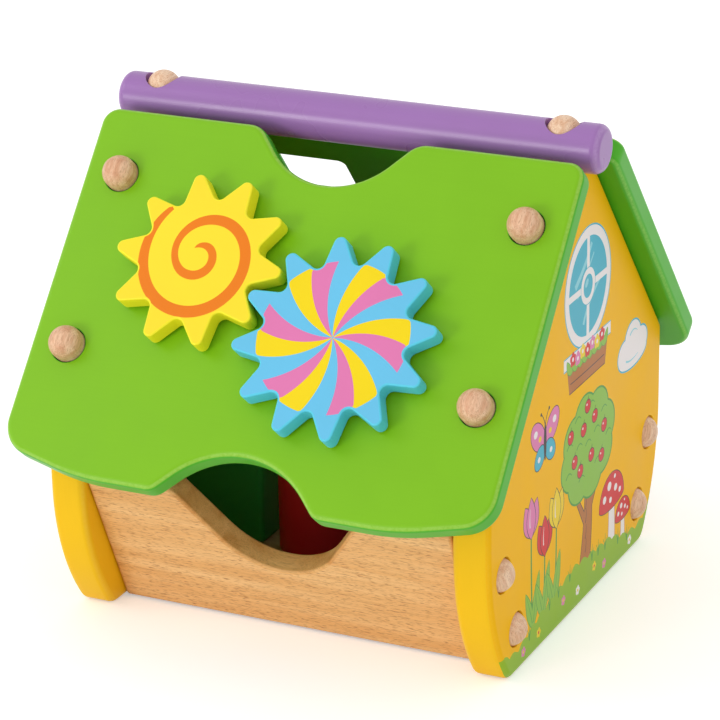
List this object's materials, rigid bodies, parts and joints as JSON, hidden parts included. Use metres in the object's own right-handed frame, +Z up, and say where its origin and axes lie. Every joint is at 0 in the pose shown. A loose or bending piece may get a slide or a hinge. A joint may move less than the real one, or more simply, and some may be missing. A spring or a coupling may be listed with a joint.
{
  "type": "wooden shape sorter",
  "caption": "House-shaped wooden shape sorter with a ridge pole handle, sloping roof panels with shaped holes, meshed turning gears on the roof and loose shape blocks inside.",
  "frame": {"origin": "on the floor, under the middle of the ridge pole", "axes": "+X along the ridge, -Y towards the front with the gears, +Z up"},
  "size_m": [0.242, 0.2724, 0.2383],
  "materials": {
    "green_paint": "painted satin",
    "purple_paint": "painted gloss",
    "yellow_paint": "painted satin",
    "bare_beech": "smooth clear-lacquered wood with a straight grain",
    "plug_beech": "sanded wood",
    "plywood": "sanded plywood",
    "sun_paint": "painted satin, with a printed orange spiral",
    "pinwheel_paint": "painted satin, with a printed pinwheel",
    "block_green": "painted satin",
    "block_red": "painted satin",
    "block_yellow": "painted satin",
    "block_blue": "painted satin",
    "block_orange": "painted satin",
    "zinc_steel": "zinc plated"
  },
  "bodies": {
    "house": {"gable_right": "yellow_paint", "roof_panel_front": "green_paint", "roof_front_right_upper_screw": "zinc_steel", "roof_front_right_upper_plug": "plug_beech", "roof_front_right_lower_screw": "zinc_steel", "roof_front_right_lower_plug": "plug_beech", "roof_front_left_upper_screw": "zinc_steel", "roof_front_left_upper_plug": "plug_beech", "roof_front_left_lower_screw": "zinc_steel", "roof_front_left_lower_plug": "plug_beech", "front_board": "bare_beech", "gable_right_front_upper_screw": "zinc_steel", "gable_right_front_upper_plug": "plug_beech", "gable_right_front_lower_screw": "zinc_steel", "gable_right_front_lower_plug": "plug_beech", "gable_left_front_upper_screw": "zinc_steel", "gable_left_front_upper_plug": "plug_beech", "gable_left_front_lower_screw": "zinc_steel", "gable_left_front_lower_plug": "plug_beech", "gable_left": "yellow_paint", "roof_panel_back": "green_paint", "roof_back_right_upper_screw": "zinc_steel", "roof_back_right_upper_plug": "plug_beech", "roof_back_right_lower_screw": "zinc_steel", "roof_back_right_lower_plug": "plug_beech", "roof_back_left_upper_screw": "zinc_steel", "roof_back_left_upper_plug": "plug_beech", "roof_back_left_lower_screw": "zinc_steel", "roof_back_left_lower_plug": "plug_beech", "back_board": "bare_beech", "gable_right_back_upper_screw": "zinc_steel", "gable_right_back_upper_plug": "plug_beech", "gable_right_back_lower_screw": "zinc_steel", "gable_right_back_lower_plug": "plug_beech", "gable_left_back_upper_screw": "zinc_steel", "gable_left_back_upper_plug": "plug_beech", "gable_left_back_lower_screw": "zinc_steel", "gable_left_back_lower_plug": "plug_beech", "ridge_pole": "purple_paint", "floor_board": "plywood", "ridge_right_screw": "zinc_steel", "ridge_right_plug": "plug_beech", "ridge_left_screw": "zinc_steel", "ridge_left_plug": "plug_beech"},
    "sun": {"sun_gear": "sun_paint", "sun_spacer": "zinc_steel", "sun_retainer": "zinc_steel", "sun_axle_screw": "zinc_steel", "sun_axle": "plug_beech"},
    "pinwheel": {"pinwheel_gear": "pinwheel_paint", "pinwheel_spacer": "zinc_steel", "pinwheel_retainer": "zinc_steel", "pinwheel_axle_screw": "zinc_steel", "pinwheel_axle": "plug_beech"},
    "square_block": {"block_square": "block_green"},
    "round_block": {"block_round": "block_red"},
    "triangle_block": {"block_triangle": "block_yellow"},
    "hexagon_block": {"block_hexagon": "block_blue"},
    "arcade_block": {"block_arcade": "block_orange"}
  },
  "joints": [
    {"name": "pinwheel_spin", "type": "hinge", "parent": "house", "child": "pinwheel", "pos_m": [0.03087, -0.08624, 0.14898], "axis": [0, -0.7615, 0.6481], "continuous": true},
    {"name": "sun_spin", "type": "hinge", "parent": "house", "child": "sun", "pos_m": [-0.0443, -0.06851, 0.16981], "axis": [0, -0.7615, 0.6481], "continuous": true},
    {"name": "square_lift", "type": "slide", "parent": "house", "child": "square_block", "axis": [0, 0, 1], "range_m": [0, 0.1]},
    {"name": "round_lift", "type": "slide", "parent": "house", "child": "round_block", "axis": [0, 0, 1], "range_m": [0, 0.1]},
    {"name": "triangle_lift", "type": "slide", "parent": "house", "child": "triangle_block", "axis": [0, 0, 1], "range_m": [0, 0.1]},
    {"name": "hexagon_lift", "type": "slide", "parent": "house", "child": "hexagon_block", "axis": [0, 0, 1], "range_m": [0, 0.1]},
    {"name": "arcade_lift", "type": "slide", "parent": "house", "child": "arcade_block", "axis": [0, 0, 1], "range_m": [0, 0.1]}
  ],
  "couplings": [
    {"joint": "sun_spin", "follows": "pinwheel_spin", "ratio": -1.2}
  ]
}
